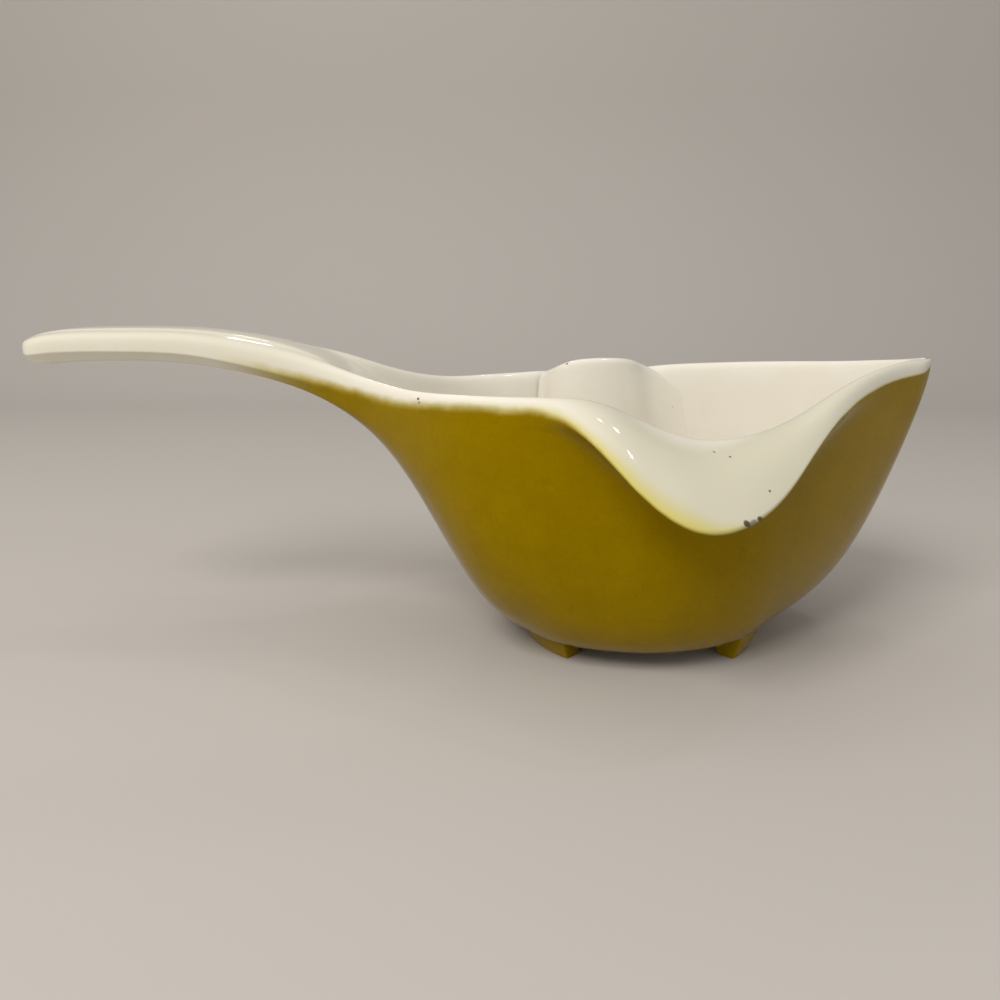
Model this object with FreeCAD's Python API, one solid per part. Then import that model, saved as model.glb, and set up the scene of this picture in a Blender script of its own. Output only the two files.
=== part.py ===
import FreeCAD, Part
import math
import os

# Gravy fat separator: a one-piece glazed earthenware bowl with a long ladle handle,
# a wide petal lip on the near side and a dammed spout on the far side.
# Millimetres. X runs along the handle towards the prow, Y away from the petal lip,
# Z up. The pieces are drawn about the middle of the foot circle and placed so that
# the origin is on the table under the middle of the whole object.

os.makedirs("parts", exist_ok=True)
doc = FreeCAD.newDocument("gravy_separator")
sheet = doc.addObject("Spreadsheet::Sheet", "sizes")
V = FreeCAD.Vector

# Single sizes
SIZES = {
    "wall": 4.5,
    "joint_at": -97.0,
    "pour_from": -76.0,
    "base_at": 5.0,
    "base_radius": 40.0,
    "spout_at": -7.0,
    "spout_spread": 15.0,
    "spout_bulge": 12.0,
    "spout_dip": 5.0,
    "dam_middle": -7.0,
    "dam_half_width": 22.5,
    "dam_bulge": 17.0,
    "dam_plate": 4.0,
    "dam_top": 91.0,
    "dam_shoulder": 9.0,
    "dam_gap": 9.0,
    "dam_lean": 8.0,
    "dam_root": 3.6,
    "foot_outer": 40.3,
    "foot_width": 6.8,
    "foot_flare": 4.0,
    "foot_height": 16.0,
    "foot_turn": 31.0,
    "foot_span": 34.0,
}

# Lines plan, as on a boat: each line gives a height or breadth at places along X
LINES = {
    "keel": ((-199, 95.5), (-194, 92.8), (-180, 94.2), (-158, 94.4), (-130, 91.2), (-104, 83.6),
             (-84, 70.0), (-69.5, 50.0), (-57.5, 26.5), (-48, 12.0), (-37, 4.8), (-26, 3.5), (5, 3.5),
             (34, 3.5), (44, 5.0), (56, 10.5), (68, 20.0), (78, 35.0), (87.5, 57.0), (98.5, 90.5)),
    "floor": ((-199, 101.5), (-190, 104.2), (-176, 105.2), (-150, 105.2), (-128, 103.2), (-112, 99.8),
              (-98, 94.5), (-87, 85.5), (-76, 69.5), (-64, 44.5), (-52, 20.0), (-38, 9.5), (5, 8.0),
              (42, 9.5), (57, 15.0), (68, 27.5), (78, 49.0), (86, 72.0), (92, 93.5), (98.5, 94.5)),
    "near_breadth": ((-199, 6.5), (-197, 10.5), (-189, 12.0), (-140, 12.0), (-110, 13.5), (-92, 19.0), (-76, 30.0),
                     (-56, 46.0), (-30, 55.0), (0, 57.0), (25, 52.0), (50, 39.5), (70, 26.0), (85, 14.8),
                     (94, 8.0), (98.5, 2.5)),
    "far_breadth": ((-199, 6.5), (-197, 10.5), (-189, 12.0), (-140, 12.0), (-110, 13.5), (-92, 17.0), (-76, 28.0),
                    (-56, 46.0), (-36, 54.0), (-7, 57.0), (25, 56.5), (50, 51.0), (70, 38.5), (85, 23.5),
                    (94, 10.5), (98.5, 2.5)),
    "near_sheer": ((-199, 100.5), (-190, 102.8), (-176, 103.6), (-150, 103.6), (-128, 101.0), (-112, 97.6),
                   (-98, 94.0), (-86, 90.5), (-72, 87.7), (-50, 88.0), (-22, 88.5), (-12, 86.0), (0, 80.0),
                   (15, 76.5), (28, 77.5), (42, 81.5), (56, 88.0), (72, 92.8), (90, 94.8), (98.5, 94.8)),
    "far_sheer": ((-199, 100.5), (-190, 102.8), (-176, 103.6), (-150, 103.6), (-128, 101.6), (-112, 98.8),
                  (-96, 95.2), (-86, 91.0), (-76, 87.0), (-60, 84.0), (-36, 84.5), (-20, 86.5), (10, 86.8),
                  (25, 87.5), (44, 88.5), (67, 90.0), (82, 91.3), (98.5, 94.8)),
    "lip_reach": ((-199, 0.0), (-60, 0.0), (-40, 0.5), (-29, 3.0), (-20, 11.5), (-9, 22.5), (5, 27.5),
                  (18, 25.0), (32, 18.0), (46, 9.0), (60, 2.5), (75, 0.0)),
    "lip_drop": ((-199, 3.0), (-195, 5.2), (-150, 5.8), (-112, 7.4), (-94, 6.8), (-76, 5.0), (-50, 3.8),
                 (-31, 4.0), (-20, 9.5), (-9, 17.5), (4, 20.5), (17, 19.3), (31, 16.0), (46, 9.0), (60, 6.0),
                 (75, 5.0), (94, 4.5), (98.5, 2.0)),
    "tuck": ((-199, 0.8), (-130, 0.8), (-98, 0.9), (-70, 1.0)),
}

# Sections along X, closer together at the ends and across the petal lip
STATIONS = (-199, -198.3, -196, -191, -183, -172, -158, -144, -130, -117, -106, -97, -89, -81, -72, -63, -54, -45,
            -36, -28, -20, -12, -4, 4, 12, 20, 28, 36, 45, 54, 63, 71, 78, 84, 89, 93, 96, 98, 98.5)

# Girth of a wall as parts of its breadth and height, from the shoulder to the keel:
# round-bottomed at the ends, flat-bottomed over the foot circle
ROUND_GIRTH = ((0.965, 0.64), (0.87, 0.36), (0.68, 0.14), (0.40, 0.03), (0.14, 0.0))
FLAT_GIRTH = ((0.975, 0.66), (0.91, 0.37), (0.82, 0.14), (0.66, 0.0), (0.30, 0.0))

# Turn of each foot about the foot circle, as parts of its turn from the X axis
FEET = {
    "foot_front_left": (180, 1),
    "foot_front_right": (0, -1),
    "foot_back_right": (0, 1),
    "foot_back_left": (180, -1),
}

row = 0


def put(alias, value):
    """Write one plain size into the sheet under its name."""
    global row
    row += 1
    sheet.set(f"A{row}", alias)
    sheet.set(f"B{row}", str(value))
    sheet.setAlias(f"B{row}", alias)


for name, value in SIZES.items():
    put(name, value)
for name, points in LINES.items():
    for number, (place, value) in enumerate(points, 1):
        put(f"{name}_{number}_place", place)
        put(f"{name}_{number}_value", value)
doc.recompute()


def size(alias):
    return float(sheet.get(alias))


def line_points(name):
    count = len(LINES[name])
    return [(size(f"{name}_{k}_place"), size(f"{name}_{k}_value")) for k in range(1, count + 1)]


def line_at(points, x):
    """Value at x of the smooth line through the points, without overshoot."""
    if x <= points[0][0]:
        return points[0][1]
    if x >= points[-1][0]:
        return points[-1][1]
    steps = [b[0] - a[0] for a, b in zip(points, points[1:])]
    rises = [(b[1] - a[1]) / step for a, b, step in zip(points, points[1:], steps)]

    def slope(k):
        if k == 0:
            return rises[0]
        if k == len(points) - 1:
            return rises[-1]
        if rises[k - 1] * rises[k] <= 0:
            return 0.0
        before = 2 * steps[k] + steps[k - 1]
        after = steps[k] + 2 * steps[k - 1]
        return (before + after) / (before / rises[k - 1] + after / rises[k])

    span = max(k for k in range(len(steps)) if points[k][0] <= x)
    t = (x - points[span][0]) / steps[span]
    start = (2 * t**3 - 3 * t**2 + 1) * points[span][1] + (t**3 - 2 * t**2 + t) * steps[span] * slope(span)
    end = (3 * t**2 - 2 * t**3) * points[span + 1][1] + (t**3 - t**2) * steps[span] * slope(span + 1)
    return start + end


wall = size("wall")
lines = {name: line_points(name) for name in LINES}


def girth_at(x):
    """Girth parts at x, blended by the breadth of the foot circle there."""
    base = size("base_radius")
    flat = math.sqrt(max(0.0, 1 - ((x - size("base_at")) / base) ** 2))
    pairs = zip(ROUND_GIRTH, FLAT_GIRTH)
    return [(r[0] + flat * (f[0] - r[0]), r[1] + flat * (f[1] - r[1])) for r, f in pairs]


def half_section(x, near):
    """Control points of one side of the section at x: outside and inside, from the rim's edge down."""
    keel = line_at(lines["keel"], x)
    floor = line_at(lines["floor"], x)
    half = line_at(lines["near_breadth" if near else "far_breadth"], x)
    crest = line_at(lines["near_sheer" if near else "far_sheer"], x)
    drop = line_at(lines["lip_drop"], x)
    reach = line_at(lines["lip_reach"], x) if near else 0.0
    if not near and x > size("pour_from"):
        spout = math.exp(-((x - size("spout_at")) / size("spout_spread")) ** 2)
        drop = min(drop, 0.9 * wall)
        half += size("spout_bulge") * spout
        crest -= size("spout_dip") * spout
    edge = crest - drop
    shoulder = max(crest - 0.45 * drop - 2 * wall, keel + 0.35 * (edge - keel))
    under = edge + 0.5 * drop - wall * math.hypot(1, drop / (reach + wall))
    if reach < 0.1:
        under = max(under, shoulder + 0.5 * (edge - shoulder))
    rim = min(wall, 0.4 * half)
    bore = half - 1.1 * wall if half > 2.2 * wall else 0.5 * half
    open_in = min(1.0, max(0.0, (crest - floor) / 10))
    top = crest - wall * open_in
    tuck = line_at(lines["tuck"], x)
    outside = [(half + reach, edge), (half * 0.5 * (1 + tuck) + 0.5 * reach, under), (half * tuck, shoulder)]
    inside = [
        (half + reach, edge),
        (half + 0.5 * reach, edge + 0.72 * drop),
        (half - 0.35 * rim, crest + 0.8 * open_in),
        (half - 0.9 * rim, crest - 0.4 * open_in),
        (bore, top),
    ]
    for breadth, height in girth_at(x):
        outside.append((half * tuck * breadth, keel + (shoulder - keel) * height))
        inside.append((bore * breadth, floor + (top - floor) * height))
    side = -1 if near else 1
    outside = [V(x, side * y, z) for y, z in outside]
    inside = [V(x, side * y, z) for y, z in inside]
    return outside, inside, V(x, 0, keel), V(x, 0, floor)


def surface_of(rows):
    """Cubic B-spline surface on a net of control points, meeting the net's border."""
    along, across = len(rows), len(rows[0])
    along_marks = [4] + [1] * (along - 4) + [4]
    across_marks = [4] + [1] * (across - 4) + [4]
    surface = Part.BSplineSurface()
    surface.buildFromPolesMultsKnots(
        rows, along_marks, across_marks, list(range(along - 2)), list(range(across - 2)), False, False, 3, 3)
    return surface


def make_body():
    """The whole pot, bowl and handle, between its outside and its inside surface."""
    outside_rows = []
    inside_rows = []
    for x in STATIONS:
        near_out, near_in, keel, floor = half_section(x, True)
        far_out, far_in, keel, floor = half_section(x, False)
        outside_rows.append(near_out + [keel] + far_out[::-1])
        inside_rows.append(near_in + [floor] + far_in[::-1])
    outside = surface_of(outside_rows)
    inside = surface_of(inside_rows)
    faces = [outside.toShape(), inside.toShape()]
    for end in (0, len(STATIONS) - 3):
        border = Part.Wire([outside.uIso(end).toShape(), inside.uIso(end).toShape()])
        faces.append(Part.Face(border))
    shell = Part.Compound(faces)
    shell.sewShape()
    body = Part.Solid(shell.Shells[0])
    if body.Volume < 0:
        body.reverse()
    return body


def add_piece(label, shape):
    """Keep one sub-part as a feature of the document, with its own label and placement."""
    piece = doc.addObject("Part::Feature", label)
    piece.Label = label
    piece.Shape = shape
    piece.Placement = FreeCAD.Placement(to_middle, FreeCAD.Rotation(0, 0, 0, 1))


def make_dam():
    """Curved plate that closes off the lean spout down to the gap above the floor."""
    middle = size("dam_middle")
    half = size("dam_half_width")
    plate = size("dam_plate")
    bulge = size("dam_bulge")
    top = size("dam_top")
    back = line_at(lines["far_breadth"], middle) - wall
    front = back - bulge
    low = line_at(lines["floor"], middle) + size("dam_gap")

    def arc_wire(z, inset):
        shift = -math.tan(math.radians(size("dam_lean"))) * (top - z)
        reach = half - inset
        ends = back + size("dam_root") + shift
        start = V(middle - reach, ends, z)
        peak = V(middle, front + inset + shift, z)
        end = V(middle + reach, ends, z)
        return Part.Arc(start, peak, end).toShape()

    def ring(z):
        outer = arc_wire(z, 0)
        inner = arc_wire(z, plate)
        first = Part.makeLine(outer.Vertexes[0].Point, inner.Vertexes[0].Point)
        last = Part.makeLine(outer.Vertexes[-1].Point, inner.Vertexes[-1].Point)
        return Part.Wire([outer, last, inner, first])

    plate_solid = Part.makeLoft([ring(low), ring(top)], True, True)
    # the top edge is a flat hump with round shoulders that run down to the rim
    crown = Part.makeBox(2 * half, 4 * back, top, V(middle - half, -back, 0))
    corners = []
    for edge in crown.Edges:
        at = edge.CenterOfMass
        if at.z > top - 1 and abs(at.x - middle) > 1:
            corners.append(edge)
    crown = crown.makeFillet(size("dam_shoulder"), corners)
    return plate_solid.common(crown)


def make_foot(angle):
    """One arc of the interrupted foot ring, flared where it runs up into the bowl."""
    outer = size("foot_outer")
    height = size("foot_height")
    span = size("foot_span")
    cone = Part.makeCone(outer, outer + size("foot_flare"), height, V(0, 0, 0), V(0, 0, 1), span)
    core = Part.makeCylinder(outer - size("foot_width"), height)
    foot = cone.cut(core)
    foot.rotate(V(0, 0, 0), V(0, 0, 1), angle - span / 2)
    foot.translate(V(size("base_at"), 0, 0))
    return foot


def largest(shape):
    """The biggest solid of a shape, without slivers that the bowl's wall cuts off."""
    return max(shape.Solids, key=lambda solid: solid.Volume)


def lowest(shape):
    """The solid under the bowl, without what the cut leaves inside it."""
    return min(shape.Solids, key=lambda solid: solid.CenterOfMass.z)


body = make_body()
box = body.optimalBoundingBox(False, False)
to_middle = V(-box.Center.x, -box.Center.y, 0)
print("placed by", to_middle)
joint = size("joint_at")
deep = 2 * box.YLength
handle_side = Part.makeBox(box.XLength, deep, deep, V(joint - box.XLength, -deep / 2, -deep / 2))
handle = body.common(handle_side)
bowl = body.cut(handle_side)
add_piece("bowl", bowl)
add_piece("handle", handle)
add_piece("lean_dam", largest(make_dam().cut(body)))
for name, (start, way) in FEET.items():
    add_piece(name, lowest(make_foot(start + way * size("foot_turn")).cut(body)))

doc.recompute()
for piece in doc.Objects:
    for state in ("Invalid", "Error"):
        if state in piece.State:
            raise RuntimeError(f"{piece.Label} is {state}")
    if piece.TypeId != "Part::Feature":
        continue
    if piece.Shape.isNull() or not piece.Shape.isValid():
        raise RuntimeError(f"{piece.Label} has no valid shape")
    piece.Shape.exportStep(f"parts/{piece.Label}.step")
    box = piece.Shape.BoundBox
    print(piece.Label, "solids", len(piece.Shape.Solids), "volume", round(piece.Shape.Volume), "box", box)
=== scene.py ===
# %% [markdown]
# # A gravy fat separator in glazed earthenware
# One fired pot: a boat-shaped bowl whose left end runs out into a ladle handle, a wide
# petal lip on the near side, and a dam in front of a hidden spout on the far side.
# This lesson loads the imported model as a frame, models the pot as one smooth skin over
# it, and glazes it yellow outside and white inside.

# %% Load the frame
import bpy
import bmesh
import math
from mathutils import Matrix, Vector


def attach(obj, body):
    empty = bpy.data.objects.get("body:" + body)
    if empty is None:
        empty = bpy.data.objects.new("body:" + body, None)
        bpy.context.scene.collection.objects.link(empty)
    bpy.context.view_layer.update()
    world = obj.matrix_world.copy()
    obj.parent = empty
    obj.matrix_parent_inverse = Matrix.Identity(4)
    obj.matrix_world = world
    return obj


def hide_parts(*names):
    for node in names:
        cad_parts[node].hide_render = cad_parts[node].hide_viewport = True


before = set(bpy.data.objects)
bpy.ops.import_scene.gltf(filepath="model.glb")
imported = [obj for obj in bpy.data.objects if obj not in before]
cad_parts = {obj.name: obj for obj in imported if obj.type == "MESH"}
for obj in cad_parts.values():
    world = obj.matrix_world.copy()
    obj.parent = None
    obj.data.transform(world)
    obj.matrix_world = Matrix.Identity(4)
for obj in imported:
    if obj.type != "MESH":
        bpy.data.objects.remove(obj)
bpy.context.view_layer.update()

# %% Small helpers
MM = 0.001


def linear(hex_colour):
    """An sRGB hex colour as the linear RGBA that a shader works in."""
    channels = [int(hex_colour[k:k + 2], 16) / 255 for k in (1, 3, 5)]
    return tuple(c / 12.92 if c <= 0.04045 else ((c + 0.055) / 1.055) ** 2.4 for c in channels) + (1.0,)


def add_node(tree, kind, settings=None, values=None, links=None):
    """Add a node to a tree, with its settings, its socket values and the sockets that feed it."""
    node = tree.nodes.new(kind)
    for key, value in (settings or {}).items():
        setattr(node, key, value)
    for key, value in (values or {}).items():
        node.inputs[key].default_value = value
    for key, source in (links or {}).items():
        tree.links.new(source, node.inputs[key])
    return node


def deselect():
    """Nothing selected, so that the next operator acts only on what it is given."""
    for obj in bpy.context.selected_objects:
        obj.select_set(False)


def activate(obj):
    """Only this object selected, and active."""
    deselect()
    obj.select_set(True)
    bpy.context.view_layer.objects.active = obj


# %% [markdown]
# ## The lines plan
# The pot is drawn like a boat. Each line gives one height or breadth, in millimetres, at
# places along X, from the butt of the handle to the prow. A smooth line runs through
# those points without overshoot, so a station anywhere along X has its own section.

# %% Lines plan
PLAN_ORIGIN = Vector((50.25, 7.805, 0.0))
WALL = 4.5
BASE_AT, BASE_RADIUS = 5.0, 40.0
SPOUT_AT, SPOUT_SPREAD, SPOUT_BULGE, SPOUT_DIP = -7.0, 15.0, 12.0, 5.0
# the handle ends and the pouring rim begins at this station
POUR_FROM = -76.0
LINES = {
    "keel": ((-199, 95.5), (-194, 92.8), (-180, 94.2), (-158, 94.4), (-130, 91.2), (-104, 83.6),
             (-84, 70.0), (-69.5, 50.0), (-57.5, 26.5), (-48, 12.0), (-37, 4.8), (-26, 3.5), (5, 3.5),
             (34, 3.5), (44, 5.0), (56, 10.5), (68, 20.0), (78, 35.0), (87.5, 57.0), (98.5, 90.5)),
    "floor": ((-199, 101.5), (-190, 104.2), (-176, 105.2), (-150, 105.2), (-128, 103.2), (-112, 99.8),
              (-98, 94.5), (-87, 85.5), (-76, 69.5), (-64, 44.5), (-52, 20.0), (-38, 9.5), (5, 8.0),
              (42, 9.5), (57, 15.0), (68, 27.5), (78, 49.0), (86, 72.0), (92, 93.5), (98.5, 94.5)),
    "near_breadth": ((-199, 6.5), (-197, 10.5), (-189, 12.0), (-140, 12.0), (-110, 13.5), (-92, 19.0),
                     (-76, 30.0), (-56, 46.0), (-30, 55.0), (0, 57.0), (25, 52.0), (50, 39.5), (70, 26.0),
                     (85, 14.8), (94, 8.0), (98.5, 2.5)),
    "far_breadth": ((-199, 6.5), (-197, 10.5), (-189, 12.0), (-140, 12.0), (-110, 13.5), (-92, 17.0),
                    (-76, 28.0), (-56, 46.0), (-36, 54.0), (-7, 57.0), (25, 56.5), (50, 51.0), (70, 38.5),
                    (85, 23.5), (94, 10.5), (98.5, 2.5)),
    "near_sheer": ((-199, 100.5), (-190, 102.8), (-176, 103.6), (-150, 103.6), (-128, 101.0), (-112, 97.6),
                   (-98, 94.0), (-86, 90.5), (-72, 87.7), (-50, 88.0), (-22, 88.5), (-12, 86.0), (0, 80.0),
                   (15, 76.5), (28, 77.5), (42, 81.5), (56, 88.0), (72, 92.8), (90, 94.8), (98.5, 94.8)),
    "far_sheer": ((-199, 100.5), (-190, 102.8), (-176, 103.6), (-150, 103.6), (-128, 101.6), (-112, 98.8),
                  (-96, 95.2), (-86, 91.0), (-76, 87.0), (-60, 84.0), (-36, 84.5), (-20, 86.5), (10, 86.8),
                  (25, 87.5), (44, 88.5), (67, 90.0), (82, 91.3), (98.5, 94.8)),
    "lip_reach": ((-199, 0.0), (-60, 0.0), (-40, 0.5), (-29, 3.0), (-20, 11.5), (-9, 22.5), (5, 27.5),
                  (18, 25.0), (32, 18.0), (46, 9.0), (60, 2.5), (75, 0.0)),
    "lip_drop": ((-199, 3.0), (-195, 5.2), (-150, 5.8), (-112, 7.4), (-94, 6.8), (-76, 5.0), (-50, 3.8),
                 (-31, 4.0), (-20, 9.5), (-9, 17.5), (4, 20.5), (17, 19.3), (31, 16.0), (46, 9.0), (60, 6.0),
                 (75, 5.0), (94, 4.5), (98.5, 2.0)),
    "tuck": ((-199, 0.8), (-130, 0.8), (-98, 0.9), (-70, 1.0)),
    # how sharp the outer edge of the rim is, from 0 round to 1 crisp
    "edge_sharpness": ((-199, 0.6), (-110, 0.6), (-85, 0.1), (-40, 0.1), (-18, 0.75), (40, 0.8),
                       (60, 0.4), (98.5, 0.2)),
    # how wide, in millimetres, the yellow glaze fades into the white along the rim
    "fade_width": ((-199, 3.0), (-90, 3.0), (-40, 2.2), (-12, 1.8), (4, 1.2), (20, 0.7), (45, 0.6),
                   (98.5, 0.6)),
    # how strongly a thin veil of yellow tint, with painted shade, darkens the white of the petal lip and of
    # the handle's top
    "veil_and_shade_strength": ((-199, 0.3), (-120, 0.3), (-75, 0.05), (-60, 0.0), (-30, 0.15), (-12, 0.45),
                      (30, 0.5), (60, 0.35), (98.5, 0.1)),
    # how wide, in millimetres, the thin mist of overspray lies on the white past that edge
    "mist_width": ((-199, 3.0), (-90, 3.0), (-40, 3.0), (-20, 5.0), (-8, 9.0), (5, 9.0), (14, 4.0),
                   (24, 1.5), (98.5, 0.8)),
}
STATIONS = (-199, -198.3, -196, -191, -183, -172, -158, -144, -130, -117, -106, -97, -89, -81, -72, -63,
            -54, -45, -36, -28, -20, -12, -4, 4, 12, 20, 28, 36, 45, 54, 63, 71, 78, 84, 89, 93, 96,
            98, 98.5)
# how a side curves in below its shoulder, as parts of its breadth and height: where the bottom is
# round, and over the foot ring, where it is flat
ROUND_GIRTH = ((0.965, 0.64), (0.87, 0.36), (0.68, 0.14), (0.40, 0.03), (0.14, 0.0))
FLAT_GIRTH = ((0.975, 0.66), (0.91, 0.37), (0.82, 0.14), (0.66, 0.0), (0.30, 0.0))


def line_at(name, x):
    """Value at x of the smooth line through the plan's points, without overshoot."""
    points = LINES[name]
    if x <= points[0][0]:
        return float(points[0][1])
    if x >= points[-1][0]:
        return float(points[-1][1])
    steps = [b[0] - a[0] for a, b in zip(points, points[1:])]
    rises = [(b[1] - a[1]) / step for a, b, step in zip(points, points[1:], steps)]

    def slope(k):
        """The line's slope at its point k, level where it turns."""
        if k == 0:
            return rises[0]
        if k == len(points) - 1:
            return rises[-1]
        if rises[k - 1] * rises[k] <= 0:
            return 0.0
        before = 2 * steps[k] + steps[k - 1]
        after = steps[k] + 2 * steps[k - 1]
        return (before + after) / (before / rises[k - 1] + after / rises[k])

    span = max(k for k in range(len(steps)) if points[k][0] <= x)
    t = (x - points[span][0]) / steps[span]
    start = (2 * t**3 - 3 * t**2 + 1) * points[span][1] + (t**3 - 2 * t**2 + t) * steps[span] * slope(span)
    end = (3 * t**2 - 2 * t**3) * points[span + 1][1] + (t**3 - t**2) * steps[span] * slope(span + 1)
    return start + end


print("lines", {name: len(points) for name, points in LINES.items()})

# %% [markdown]
# ## Sections
# A section is a loop of cage points round the wall: from the rim's outer edge down the
# outside, across the keel, and back up the inside over both rims. On the handle the
# inside is its top face. Each point also remembers how far it is from the rim's edge,
# because that is where the yellow glaze stops. The handle's top is a low crown: where the
# floor line stands above the sheer, the rim's points are lifted by parts of that crown.

# %% Section of the wall
# the far rim has no petal, so its edge lies less than a wall below its crest
FAR_DROP_WALLS = 0.9
# the shoulder lies this part of the drop and this many walls below the crest, and never too near the keel
SHOULDER_DROP, SHOULDER_WALLS, SHOULDER_LEAST = 0.45, 2, 0.35
# the underside of the lip, half way in from its edge
UNDER_PART = 0.5
FLAT_LIP_MM = 0.1
# the rim's width and the bore, on a wall that is broad enough for them and on a narrow one
RIM_PART = 0.4
BORE_WALLS, BROAD_WALLS, NARROW_PART = 1.1, 2.2, 0.5
# the bowl is fully open where its floor lies this far below the rim
OPEN_MM = 10
# how far in the two points of the rim lie, how far they stand over it, and their parts of the crown
RIM_OUTER_IN, RIM_OUTER_UP, RIM_OUTER_CROWN = 0.35, 0.8, 0.12
RIM_INNER_IN, RIM_INNER_DOWN, RIM_INNER_CROWN = 0.9, 0.4, 0.42
LIP_MIDDLE_UP = 0.72
TOP_CROWN = 0.62


def girth_at(x):
    """Girth parts (breadth, height) at x, blended by the breadth of the foot circle there."""
    flat = math.sqrt(max(0.0, 1 - ((x - BASE_AT) / BASE_RADIUS) ** 2))
    pairs = zip(ROUND_GIRTH, FLAT_GIRTH)
    return [(ry + flat * (fy - ry), rz + flat * (fz - rz)) for (ry, rz), (fy, fz) in pairs]


def half_section(x, near):
    """Points (y, z) of one side of the section at x, outside and inside, from the rim's edge down."""
    keel, floor = line_at("keel", x), line_at("floor", x)
    half = line_at("near_breadth" if near else "far_breadth", x)
    crest = line_at("near_sheer" if near else "far_sheer", x)
    drop = line_at("lip_drop", x)
    reach = line_at("lip_reach", x) if near else 0.0
    if not near and x > POUR_FROM:
        spout = math.exp(-((x - SPOUT_AT) / SPOUT_SPREAD) ** 2)
        drop = min(drop, FAR_DROP_WALLS * WALL)
        half += SPOUT_BULGE * spout
        crest -= SPOUT_DIP * spout
    edge = crest - drop
    shoulder = crest - SHOULDER_DROP * drop - SHOULDER_WALLS * WALL
    shoulder = max(shoulder, keel + SHOULDER_LEAST * (edge - keel))
    under = edge + UNDER_PART * drop - WALL * math.hypot(1, drop / (reach + WALL))
    if reach < FLAT_LIP_MM:
        under = max(under, shoulder + UNDER_PART * (edge - shoulder))
    rim = min(WALL, RIM_PART * half)
    bore = half - BORE_WALLS * WALL if half > BROAD_WALLS * WALL else NARROW_PART * half
    open_in = min(1.0, max(0.0, (crest - floor) / OPEN_MM))
    crown = max(0.0, floor - crest)
    top = crest - WALL * open_in + TOP_CROWN * crown
    tuck = line_at("tuck", x)
    outside = [
        (half + reach, edge),
        (half * UNDER_PART * (1 + tuck) + UNDER_PART * reach, under),
        (half * tuck, shoulder),
    ]
    inside = [
        (half + reach, edge),
        (half + UNDER_PART * reach, edge + LIP_MIDDLE_UP * drop),
        (half - RIM_OUTER_IN * rim, crest + RIM_OUTER_UP * open_in + RIM_OUTER_CROWN * crown),
        (half - RIM_INNER_IN * rim, crest - RIM_INNER_DOWN * open_in + RIM_INNER_CROWN * crown),
        (bore, top),
    ]
    for breadth, height in girth_at(x):
        outside.append((half * tuck * breadth, keel + (shoulder - keel) * height))
        inside.append((bore * breadth, floor + (top - floor) * height))
    return outside, inside, keel, floor


def section_loop(x):
    """The whole loop at x, each point as (position in metres, distance from the rim's edge in mm)."""
    near_out, near_in, keel, floor = half_section(x, True)
    far_out, far_in, keel, floor = half_section(x, False)

    def run(points, side, sign):
        """Points of one run with how far along it they are, which is negative on the outside."""
        gone, placed = 0.0, []
        for k, (y, z) in enumerate(points):
            if k:
                gone += math.hypot(y - points[k - 1][0], z - points[k - 1][1])
            placed.append(((Vector((x, side * y, z)) + PLAN_ORIGIN) * MM, sign * gone))
        return placed

    outside = run(near_out, -1, -1)
    bottom = (Vector((x, 0, keel)) + PLAN_ORIGIN) * MM
    inner_bottom = (Vector((x, 0, floor)) + PLAN_ORIGIN) * MM
    far_outside = run(far_out, 1, -1)[::-1]
    inside = run(far_in, 1, 1)[1:]
    near_inside = run(near_in, -1, 1)[::-1][:-1]
    loop = outside + [(bottom, outside[-1][1])] + far_outside
    return loop + inside + [(inner_bottom, inside[-1][1])] + near_inside


sample = section_loop(0)
petal_edge = sample[0][0]
print("loop of", len(sample), "cage points; petal's edge", round(petal_edge.y, 4), round(petal_edge.z, 4))

# %% [markdown]
# ## The pot
# The real pot is slip-cast in one go, so bowl and handle are one skin with no join. The
# loops are bridged into a cage of quads, its rim edge is creased where the petal lip is
# thin, and three levels of subdivision turn it into the smooth cast form. It replaces
# the CAD bowl and handle, which stay underneath for collision.

# %% Pot
def cage_object(name, loops):
    """A tube of quads through loops of points, with flat ends, as a new mesh object."""
    mesh = bpy.data.meshes.new(name)
    bm = bmesh.new()
    rows = [[bm.verts.new(point) for point in loop] for loop in loops]
    count = len(rows[0])
    for here, there in zip(rows, rows[1:]):
        for k in range(count):
            bm.faces.new((here[k], here[(k + 1) % count], there[(k + 1) % count], there[k]))
    bm.faces.new(rows[0][::-1])
    bm.faces.new(rows[-1])
    bmesh.ops.recalc_face_normals(bm, faces=bm.faces)
    bm.to_mesh(mesh)
    bm.free()
    obj = bpy.data.objects.new(name, mesh)
    bpy.context.scene.collection.objects.link(obj)
    return obj


def apply_subdivision(obj, levels):
    """The cage of an object turned into its smooth cast form."""
    activate(obj)
    modifier = obj.modifiers.new("cast", "SUBSURF")
    modifier.levels = levels
    modifier.render_levels = levels
    bpy.ops.object.modifier_apply(modifier="cast")
    bpy.ops.object.shade_smooth()


# left of this station the veil of tint and painted shade lies on both sides, and right of it on the near
# side alone
VEIL_AND_SHADE_NEAR_ONLY_FROM = -60
FAR_EDGE_SHARPNESS = 0.1

sections = [section_loop(x) for x in STATIONS]
pot = cage_object("pot", [[point for point, _ in loop] for loop in sections])
per_loop = len(sections[0])
painted = {"from_edge": [], "along": [], "fade_width": [], "mist_width": [], "veil_and_shade_strength": []}
for x, loop in zip(STATIONS, sections):
    for point, distance in loop:
        veiled_and_shaded = x < VEIL_AND_SHADE_NEAR_ONLY_FROM or point.y < PLAN_ORIGIN.y * MM
        painted["from_edge"].append(distance)
        painted["along"].append(x)
        painted["fade_width"].append(line_at("fade_width", x))
        painted["mist_width"].append(line_at("mist_width", x))
        painted["veil_and_shade_strength"].append(line_at("veil_and_shade_strength", x) if veiled_and_shaded else 0.0)
for name, values in painted.items():
    pot.data.attributes.new(name, "FLOAT", "POINT").data.foreach_set("value", values)

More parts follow.
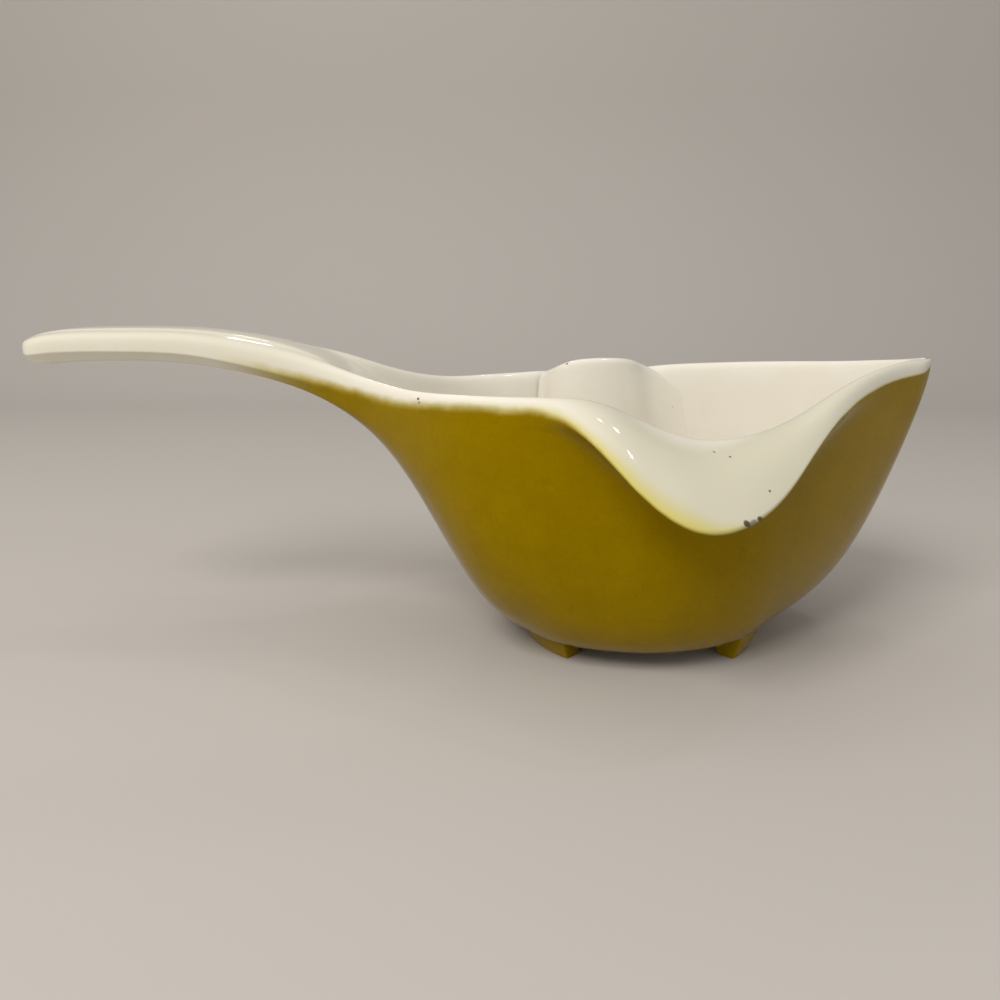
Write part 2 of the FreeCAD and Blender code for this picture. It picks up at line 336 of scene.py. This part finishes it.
near_edge = 0
far_edge = len(half_section(0, True)[0]) * 2
crease = pot.data.attributes.new("crease_edge", "FLOAT", "EDGE")
for edge in pot.data.edges:
    a, b = sorted(edge.vertices)
    if a % per_loop == b % per_loop and a % per_loop in (near_edge, far_edge):
        sharpness = line_at("edge_sharpness", STATIONS[a // per_loop])
        crease.data[edge.index].value = sharpness if a % per_loop == near_edge else FAR_EDGE_SHARPNESS
apply_subdivision(pot, levels=3)
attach(pot, "root")
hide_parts("bowl", "handle")
print("pot", len(pot.data.polygons), "faces")

# %% [markdown]
# ## The dam
# The dam is a half tube of clay luted upright inside the far wall. It stops about nine
# millimetres above the floor, so the spout behind it draws from the bottom. Its left end
# meets the wall in a tight corner, and its right end was smoothed with a finger into a
# long fillet that widens downwards. Its top is a low hump with round shoulders. Its plan
# is a row of cage points, each with how far it stands out from the wall behind it.

# %% Dam
# places along X, each with how far the plate stands out from the wall
DAM_PLAN = ((-30.0, -2.0), (-27.2, -0.5), (-25.6, 3.5), (-23.5, 9.0), (-18.5, 15.5), (-9.0, 17.5),
            (0.0, 15.5), (6.5, 10.5), (10.0, 5.8), (13.5, 3.0), (18.0, 1.3), (24.0, 0.3), (30.0, -0.6),
            (35.0, -1.6))
# places along X, each with the height of the plate's top
LINES["dam_crown"] = (
    (-30.0, 83.8), (-27.2, 85.4), (-24.0, 87.5), (-21.0, 89.7), (-17.5, 91.3), (-13.0, 91.9), (3.0, 91.7),
    (8.5, 90.2), (12.5, 88.3), (17.0, 86.4), (22.0, 83.0), (30.0, 77.0), (35.0, 73.0))
DAM_MIDDLE = -7.0
DAM_PLATE = 4.0
DAM_BOTTOM = 17.5
# the right end leans out to the right on its way down, by this slope and as far down as this depth
DAM_SLANT, DAM_SLANT_DEPTH, DAM_SLANT_RUN = 0.30, 22.0, 20
# the hollow behind the plate is this much shorter, and sinks into the wall at both ends
DAM_HOLLOW_PART, DAM_SUNK = 0.84, -2.2
DAM_LEVELS = (0, 0.03, 0.2, 0.4, 0.6, 0.8, 0.95, 1)
DAM_GIRTHS = 4


def far_wall(x, z):
    """How far back the bowl's own inside wall lies at x and z, without the spout's bulge."""
    floor = line_at("floor", x)
    top = line_at("far_sheer", x) - WALL
    bore = line_at("far_breadth", x) - BORE_WALLS * WALL
    girths = girth_at(x)[:DAM_GIRTHS]
    heights = [(floor + (top - floor) * height, bore * breadth) for breadth, height in girths]
    heights = [(top, bore)] + heights
    for (high, outer), (low, inner) in zip(heights, heights[1:]):
        if z >= low:
            return inner + (outer - inner) * min(1.0, (z - low) / (high - low))
    return heights[-1][1]


def dam_section(x, proud):
    """Upright loop of the plate at one place along it, up its face and down its hollow side."""
    crown = line_at("dam_crown", x)
    levels = [DAM_BOTTOM + (crown - DAM_BOTTOM) * part for part in DAM_LEVELS]
    right = max(0.0, min(1.0, (x - DAM_MIDDLE) / DAM_SLANT_RUN))
    hollow_x = DAM_MIDDLE + (x - DAM_MIDDLE) * DAM_HOLLOW_PART

    def at(across, out, z):
        """A point of the plate that stands out from the wall at this height."""
        across += right * DAM_SLANT * min(crown - z, DAM_SLANT_DEPTH)
        return (Vector((across, far_wall(across, z) - out, z)) + PLAN_ORIGIN) * MM

    face = [at(x, proud, z) for z in levels]
    hollow = [at(hollow_x, max(proud - DAM_PLATE, DAM_SUNK), z) for z in reversed(levels)]
    return face + hollow


dam = cage_object("dam", [dam_section(x, proud) for x, proud in DAM_PLAN])
apply_subdivision(dam, levels=3)
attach(dam, "root")
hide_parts("lean_dam")
print("dam", len(dam.data.polygons), "faces")

# %% [markdown]
# ## The feet
# Four arcs of a foot ring, flared where they run up into the bowl, with edges softened
# by the glaze. One section is turned through each of the four arcs, and each has its own
# mesh, so that it can stand in for its own foot.

# %% Feet
FEET = {"foot_front_left": 211, "foot_front_right": 329, "foot_back_right": 31, "foot_back_left": 149}
FOOT_INNER, FOOT_OUTER, FOOT_FLARE, FOOT_SPAN = 33.5, 40.3, 3.6, 34.0
FOOT_STEPS = 8
# the softened edge's width and height, and the outside's swell over it
FOOT_EDGE, FOOT_EDGE_HEIGHT, FOOT_SWELL = 1.2, 1.4, 0.4
# how high the foot runs up into the bowl, outside and inside
FOOT_TOP_OUTSIDE, FOOT_TOP_INSIDE = 9.5, 7.0
# a section at this part of the half span keeps each end of an arc square
FOOT_END = 0.95


def foot_section(angle):
    """Upright loop of the foot ring at one angle."""
    profile = (
        (FOOT_INNER, 0.0),
        (FOOT_INNER + FOOT_EDGE, 0.0),
        (FOOT_OUTER - FOOT_EDGE, 0.0),
        (FOOT_OUTER, 0.0),
        (FOOT_OUTER + FOOT_SWELL, FOOT_EDGE_HEIGHT),
        (FOOT_OUTER + FOOT_FLARE, FOOT_TOP_OUTSIDE),
        (FOOT_INNER, FOOT_TOP_INSIDE),
        (FOOT_INNER, FOOT_EDGE_HEIGHT),
    )
    turned = [Vector((BASE_AT + r * math.cos(angle), r * math.sin(angle), z)) for r, z in profile]
    return [(point + PLAN_ORIGIN) * MM for point in turned]


half_span = math.radians(FOOT_SPAN / 2)
between = [-FOOT_END + 2 * FOOT_END * k / FOOT_STEPS for k in range(1, FOOT_STEPS)]
turns = [-1, -FOOT_END] + between + [FOOT_END, 1]
for name, middle in FEET.items():
    angles = [math.radians(middle) + half_span * turn for turn in turns]
    foot = cage_object(name + "_glazed", [foot_section(angle) for angle in angles])
    apply_subdivision(foot, levels=2)
    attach(foot, "root")
    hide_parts(name)
feet = [bpy.data.objects[name + "_glazed"] for name in FEET]
print("feet", [foot.name for foot in feet])

# %% [markdown]
# ## Glaze
# Lead-bright majolica-like glaze over cream earthenware: glossy, so it mirrors soft
# windows as tight highlights, with a faint ripple where it pooled, fine crazing and a
# brushed mottle in the yellow. The yellow was sprayed on outside after the white, so at
# the left of the rim and on the handle it fades out, and at the right it is wiped crisp.
# A painted image could show this, but nodes keep every edge sharp at any distance. Three
# short helpers mix colours, grade values and do sums, and the glaze is built from them.

# %% Helpers for the glaze
def mixed(tree, factor, first, second):
    """Colour between two colours, each one a hex colour or a socket."""
    node = add_node(tree, "ShaderNodeMix", {"data_type": "RGBA"})
    for key, value in ((0, factor), (6, first), (7, second)):
        if isinstance(value, str):
            node.inputs[key].default_value = linear(value)
        else:
            tree.links.new(value, node.inputs[key])
    return node.outputs[2]


def graded(tree, value, start, end, low=0.0, high=1.0):
    """A smooth step of a value, from low at its start to high at its end."""
    limits = {"From Min": start, "From Max": end, "To Min": low, "To Max": high}
    smooth = {"interpolation_type": "SMOOTHSTEP"}
    return add_node(tree, "ShaderNodeMapRange", smooth, limits, {"Value": value}).outputs["Result"]


def maths(tree, operation, first, second):
    """A sum on two values, each one a number or a socket."""
    node = add_node(tree, "ShaderNodeMath", {"operation": operation})
    for key, value in enumerate((first, second)):
        if isinstance(value, float):
            node.inputs[key].default_value = value
        else:
            tree.links.new(value, node.inputs[key])
    return node.outputs[0]


# %% [markdown]
# ## Where the yellow lies
# The sprayer held the pot by its handle and sprayed it from outside, so the yellow stops
# near the rim's edge, with a mist of droplets past it and a thin veil over the petal lip, a veil that also
# carries painted shade on the lip and the handle's top.
# The distance from the rim's edge, which each point of the pot carries, gives all three.
# A mask by height would be simpler, but the petal lip dips and would come out wrong.

# %% Where the yellow lies
# the edges of the yellow and of its mist, from full to none, in fade widths past the rim's edge
COAT_FADE = (-0.4, 1.1)
MIST_FADE = (-0.1, 1.2)
# the stations between which the bare handle turns to sprayed yellow
BARE_HANDLE_MM = (-138.0, -98.0)
# how far in from the rim's edge the veil of tint and painted shade thins to nothing
LIP_MM = (26.0, 40.0)


def overglaze(tree, mottle):
    """How much yellow, overspray, and thin veil of tint and painted shade lie at each place of the two-tone
    pot.
    """
    names = ("from_edge", "fade_width", "mist_width", "along", "veil_and_shade_strength")
    distance, width, mist, station, strength = [
        add_node(tree, "ShaderNodeAttribute", {"attribute_name": name}).outputs["Fac"] for name in names]
    wander = maths(tree, "MULTIPLY", maths(tree, "SUBTRACT", mottle, 0.5), width)
    drifted = maths(tree, "ADD", distance, wander)
    coat = graded(tree, maths(tree, "DIVIDE", drifted, width), *COAT_FADE, 1.0, 0.0)
    halo = graded(tree, maths(tree, "DIVIDE", drifted, mist), *MIST_FADE, 1.0, 0.0)
    sprayed = graded(tree, station, *BARE_HANDLE_MM)
    veil_and_shade = maths(tree, "MULTIPLY", graded(tree, distance, *LIP_MM, 1.0, 0.0), strength)
    return maths(tree, "MULTIPLY", coat, sprayed), maths(tree, "MULTIPLY", halo, sprayed), veil_and_shade


# %% [markdown]
# ## Chips and specks
# A used pot has small chips where it was knocked, and specks where a grain in the clay
# burned through the glaze. They are spots of a darker colour, each at its own place on
# the plan, because a random pattern would put them anywhere. A little noise shifts the
# place that each spot is measured from, so its outline isn't a circle.

# %% Chips and specks
CHIP, CHIP_PALE, SPECK, HAIR = "#4f4a30", "#93897a", "#6a5a44", "#a98f72"
# chips, specks and hair cracks: the place on the plan, the radius in millimetres and the colour
MARKS = (
    ((19.6, -76.5, 59.3), 1.4, CHIP),
    ((21.4, -75.7, 59.3), 1.5, CHIP_PALE),
    ((23.6, -74.2, 59.9), 1.2, CHIP),
    ((55.5, -31.0, 88.4), 1.1, CHIP),
    ((57.6, -30.0, 89.1), 1.3, CHIP),
    ((59.9, -28.9, 89.8), 1.3, CHIP),
    ((62.2, -27.6, 90.4), 1.1, CHIP),
    ((-113.0, 4.4, 99.8), 0.7, SPECK),
    ((-68.1, -36.5, 86.1), 0.6, SPECK),
    ((-67.6, -36.8, 85.0), 0.5, SPECK),
    ((-18.7, 37.9, 89.3), 0.6, SPECK),
    ((14.1, -59.6, 74.8), 0.5, SPECK),
    ((18.3, -60.6, 73.6), 0.45, SPECK),
    ((27.7, -67.1, 65.7), 0.45, SPECK),
    ((24.2, 50.4, 71.2), 0.5, HAIR),
    ((25.3, 50.6, 70.3), 0.5, HAIR),
    ((26.3, 50.8, 69.6), 0.5, HAIR),
    ((27.3, 50.7, 69.1), 0.5, HAIR),
)
MARK_NOISE_MM = 2.5
MARK_WANDER_MM = 1.2
MARK_CORE = 0.5


def marked(tree, place, colour):
    """The glaze's colour with its chips, specks and hair cracks, whose outlines wander a little."""
    noise_size = {"Scale": 1 / (MARK_NOISE_MM * MM)}
    noise = add_node(tree, "ShaderNodeTexNoise", values=noise_size, links={"Vector": place})
    centred = add_node(tree, "ShaderNodeVectorMath", {"operation": "SUBTRACT"}, {1: (0.5, 0.5, 0.5)},
                       {0: noise.outputs["Color"]}).outputs[0]
    wander = add_node(tree, "ShaderNodeVectorMath", {"operation": "SCALE"}, {"Scale": MARK_WANDER_MM * MM},
                      {0: centred}).outputs[0]
    shifted = add_node(tree, "ShaderNodeVectorMath", {"operation": "ADD"},
                       links={0: place, 1: wander}).outputs[0]
    for middle, radius, tone in MARKS:
        centre = (Vector(middle) + PLAN_ORIGIN) * MM
        away = add_node(tree, "ShaderNodeVectorMath", {"operation": "DISTANCE"}, {1: centre},
                        {0: shifted}).outputs["Value"]
        spot = graded(tree, away, MARK_CORE * radius * MM, radius * MM, 1.0, 0.0)
        colour = mixed(tree, spot, colour, tone)
    return colour


# %% [markdown]
# ## The glaze itself
# One function makes all three glazes, so that they share their mottle, ripple and gloss.
# Yellow glass tints what it mirrors, so the yellow's reflections are warm and the white's
# are clear.

# %% Glaze
YELLOW, YELLOW_DEEP = "#897000", "#796100"
WHITE, WHITE_WARM = "#e3dfd6", "#dfd9c8"
OVERSPRAY = "#c2b758"
# a yellow-green tint of the thin glaze, mixed with painted shade that darkens the petal lip and the handle's
# top
VEIL_AND_SHADE = "#a9a582"
CRAZE_LINE = "#4a3a00"
SHINE_ON_YELLOW = "#d0a800"
NEUTRAL_SHINE = "#ffffff"
# glossy lead glaze looks wet: nearly a mirror, with about the refraction of window glass
GLAZE_ROUGHNESS = 0.07
GLAZE_IOR = 1.5
# brush strokes in the glaze show as patches of this size
MOTTLE_MM = 9.0
MOTTLE_DETAIL, MOTTLE_ROUGHNESS = 4.0, 0.6
# the crazing's real cells are finer, and are drawn this coarse so that they show
CRAZE_MM = 3.2
CRAZE_WIDTH, CRAZE_STRENGTH = 0.05, 0.12
# the glaze pooled in soft waves of this size, which break up its reflections
RIPPLE_MM = 16.0
RIPPLE_DETAIL, RIPPLE_STRENGTH, RIPPLE_DEPTH_MM = 1.5, 0.12, 0.6


def glaze(name, coat):
    """Glossy glaze: coat is "white", "yellow", or "both" for yellow outside the rim's edge."""
    material = bpy.data.materials.new(name)
    material.use_nodes = True
    tree = material.node_tree
    shader = tree.nodes["Principled BSDF"]
    place = {"Vector": add_node(tree, "ShaderNodeTexCoord").outputs["Object"]}
    mottle_size = {"Scale": 1 / (MOTTLE_MM * MM), "Detail": MOTTLE_DETAIL, "Roughness": MOTTLE_ROUGHNESS}
    mottle = add_node(tree, "ShaderNodeTexNoise", values=mottle_size, links=place).outputs["Fac"]
    ripple_size = {"Scale": 1 / (RIPPLE_MM * MM), "Detail": RIPPLE_DETAIL}
    ripple = add_node(tree, "ShaderNodeTexNoise", values=ripple_size, links=place).outputs["Fac"]
    cells = add_node(tree, "ShaderNodeTexVoronoi", {"feature": "DISTANCE_TO_EDGE"},
                     {"Scale": 1 / (CRAZE_MM * MM)}, place).outputs["Distance"]
    craze = graded(tree, cells, 0.0, CRAZE_WIDTH, CRAZE_STRENGTH, 0.0)
    yellow = mixed(tree, craze, mixed(tree, mottle, YELLOW_DEEP, YELLOW), CRAZE_LINE)
    white = mixed(tree, mottle, WHITE, WHITE_WARM)
    if coat == "both":
        cover, halo, veil_and_shade = overglaze(tree, mottle)
        # the veil paints shade and a yellow-green tint over the white of the petal lip and the handle's top,
        # and the overspray mist lies over it
        tinted_and_shaded = mixed(tree, halo, mixed(tree, veil_and_shade, white, VEIL_AND_SHADE), OVERSPRAY)
        colour = mixed(tree, cover, tinted_and_shaded, yellow)
        tree.links.new(mixed(tree, cover, NEUTRAL_SHINE, SHINE_ON_YELLOW), shader.inputs["Specular Tint"])
    elif coat == "yellow":
        colour = yellow
        shader.inputs["Specular Tint"].default_value = linear(SHINE_ON_YELLOW)
    else:
        colour = white
        shader.inputs["Specular Tint"].default_value = linear(NEUTRAL_SHINE)
    if coat != "yellow":
        colour = marked(tree, place["Vector"], colour)
    bump_size = {"Strength": RIPPLE_STRENGTH, "Distance": RIPPLE_DEPTH_MM * MM}
    bump = add_node(tree, "ShaderNodeBump", values=bump_size, links={"Height": ripple})
    tree.links.new(colour, shader.inputs["Base Color"])
    tree.links.new(bump.outputs["Normal"], shader.inputs["Normal"])
    shader.inputs["Roughness"].default_value = GLAZE_ROUGHNESS
    shader.inputs["IOR"].default_value = GLAZE_IOR
    return material


# glassy and deep outside, milky and clean inside
two_tone = glaze("lead-bright glaze, yellow and white", "both")
# milky, with clear highlights
white_glaze = glaze("white tin glaze", "white")
# glassy and deep, with warm highlights
yellow_glaze = glaze("yellow lead glaze", "yellow")
for obj, material in [(pot, two_tone), (dam, white_glaze)] + [(foot, yellow_glaze) for foot in feet]:
    obj.data.materials.clear()
    obj.data.materials.append(material)
for node, material in (("bowl", two_tone), ("handle", white_glaze), ("lean_dam", white_glaze)):
    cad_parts[node].data.materials.clear()
    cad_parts[node].data.materials.append(material)
print("materials", [m.name for m in bpy.data.materials])

# %% [markdown]
# ## The floor
# A plain pale sheet of paper lies under the pot and curves up behind it. Two flat planes
# would show a line where they meet, and the curve has none.

# %% Floor
# the sweep in metres: its near edge, where it starts to bend, the bend, the top and the half width
FLOOR_NEAR, BEND_START, BEND_RADIUS, BACKDROP_TOP, FLOOR_HALF = -1.2, 0.55, 0.35, 1.6, 2.0
BEND_STEPS = 12
PAPER = "#b9b4ae"
PAPER_ROUGHNESS = 0.9


def sweep_floor():
    """A floor that bends up into a backdrop behind the object."""
    deselect()
    turns = [math.pi / 2 * k / BEND_STEPS for k in range(BEND_STEPS + 1)]
    bend = [(BEND_START + BEND_RADIUS * math.sin(a), BEND_RADIUS - BEND_RADIUS * math.cos(a)) for a in turns]
    profile = [(FLOOR_NEAR, 0.0)] + bend + [(BEND_START + BEND_RADIUS, BACKDROP_TOP)]
    mesh = bpy.data.meshes.new("floor")
    bm = bmesh.new()
    left = [bm.verts.new((-FLOOR_HALF, y, z)) for y, z in profile]
    right = [bm.verts.new((FLOOR_HALF, y, z)) for y, z in profile]
    for k in range(len(profile) - 1):
        bm.faces.new((left[k], right[k], right[k + 1], left[k + 1]))
    bm.to_mesh(mesh)
    bm.free()
    floor = bpy.data.objects.new("floor", mesh)
    bpy.context.scene.collection.objects.link(floor)
    activate(floor)
    bpy.ops.object.shade_smooth()
    # matte paper, which gives an even ground with soft shadows and no shine
    paper = bpy.data.materials.new("pale matte paper")
    paper.use_nodes = True
    paper.node_tree.nodes["Principled BSDF"].inputs["Base Color"].default_value = linear(PAPER)
    paper.node_tree.nodes["Principled BSDF"].inputs["Roughness"].default_value = PAPER_ROUGHNESS
    floor.data.materials.append(paper)
    return floor


print("floor", len(sweep_floor().data.polygons), "faces")

# %% [markdown]
# ## The light
# One large soft window from the upper left, weaker fills from low at the left, from above
# and from the right, and a few small lamps for the glints. The large lights stay out of
# reflections, because the photograph shows only small broken glints on the glaze.

# %% Lights
POT_MIDDLE = (0.02, 0.0, 0.05)
DAYLIGHT, PLAIN_LIGHT, ROOM = "#fffbf6", "#ffffff", "#f6f4f2"
ROOM_STRENGTH = 0.42
# the large soft lights, each with its name, place, size, power and colour
SOFT_LIGHTS = (
    ("window", (-0.50, -0.80, 0.98), 0.6, 13.0, DAYLIGHT),
    ("low front", (-0.55, -0.85, 0.16), 0.4, 1.3, DAYLIGHT),
    ("ceiling", (-0.40, 0.05, 1.15), 0.7, 1.5, DAYLIGHT),
    ("right", (0.9, -0.5, 0.5), 0.8, 1.2, PLAIN_LIGHT),
)
# small bright lamps, each with its place, size and power, which the wet-looking glaze mirrors as points
GLINTS = (
    ((0.23, 0.11, 1.15), 0.04, 0.25),
    ((0.44, 0.16, 1.08), 0.05, 0.35),
    ((0.46, -0.16, 1.09), 0.04, 0.25),
    ((-0.24, 0.80, 0.82), 0.10, 0.40),
)


def soft_light(name, place, size, watts, colour):
    """A square light at a place in metres, pointed at the pot and left out of its reflections."""
    lamp = bpy.data.lights.new(name, "AREA")
    lamp.energy = watts
    lamp.size = size
    lamp.color = linear(colour)[:3]
    obj = bpy.data.objects.new(name, lamp)
    obj.location = place
    obj.rotation_euler = (Vector(POT_MIDDLE) - Vector(place)).to_track_quat("-Z", "Y").to_euler()
    obj.visible_glossy = False
    bpy.context.scene.collection.objects.link(obj)
    return obj


for name, place, size, watts, colour in SOFT_LIGHTS:
    soft_light(name, place, size, watts, colour)
for number, (place, size, watts) in enumerate(GLINTS, 1):
    glint = soft_light(f"glint {number}", place, size, watts, PLAIN_LIGHT)
    glint.visible_glossy = True
world = bpy.context.scene.world or bpy.data.worlds.new("room")
bpy.context.scene.world = world
world.use_nodes = True
world.node_tree.nodes["Background"].inputs["Color"].default_value = linear(ROOM)
world.node_tree.nodes["Background"].inputs["Strength"].default_value = ROOM_STRENGTH
print("lights", len(SOFT_LIGHTS), "soft and", len(GLINTS), "glints")

# %% [markdown]
# ## The camera
# The camera is where the photograph was taken: close, a little above the rim, and level
# from side to side. Its focal length is written in pixels of the photograph, because it
# was worked out from distances measured there.

# %% Camera
EYE = (Vector((-44.0, -289.0, 120.0)) + PLAN_ORIGIN) * MM
FOCAL_PIXELS = 860.0
HORIZON_PIXELS_UP = 220.0
FRAME_PIXELS = 1000.0
SENSOR_MM = 36.0

camera_data = bpy.data.cameras.new("camera")
camera_data.sensor_width = SENSOR_MM
camera_data.lens = SENSOR_MM * FOCAL_PIXELS / FRAME_PIXELS
camera = bpy.data.objects.new("camera", camera_data)
camera.location = EYE
camera.rotation_euler = (math.pi / 2 - math.atan(HORIZON_PIXELS_UP / FOCAL_PIXELS), 0, 0)
bpy.context.scene.collection.objects.link(camera)
bpy.context.scene.camera = camera
bpy.context.scene.view_settings.view_transform = "Standard"
print("camera", tuple(round(c, 4) for c in camera.location), "lens", round(camera_data.lens, 2))
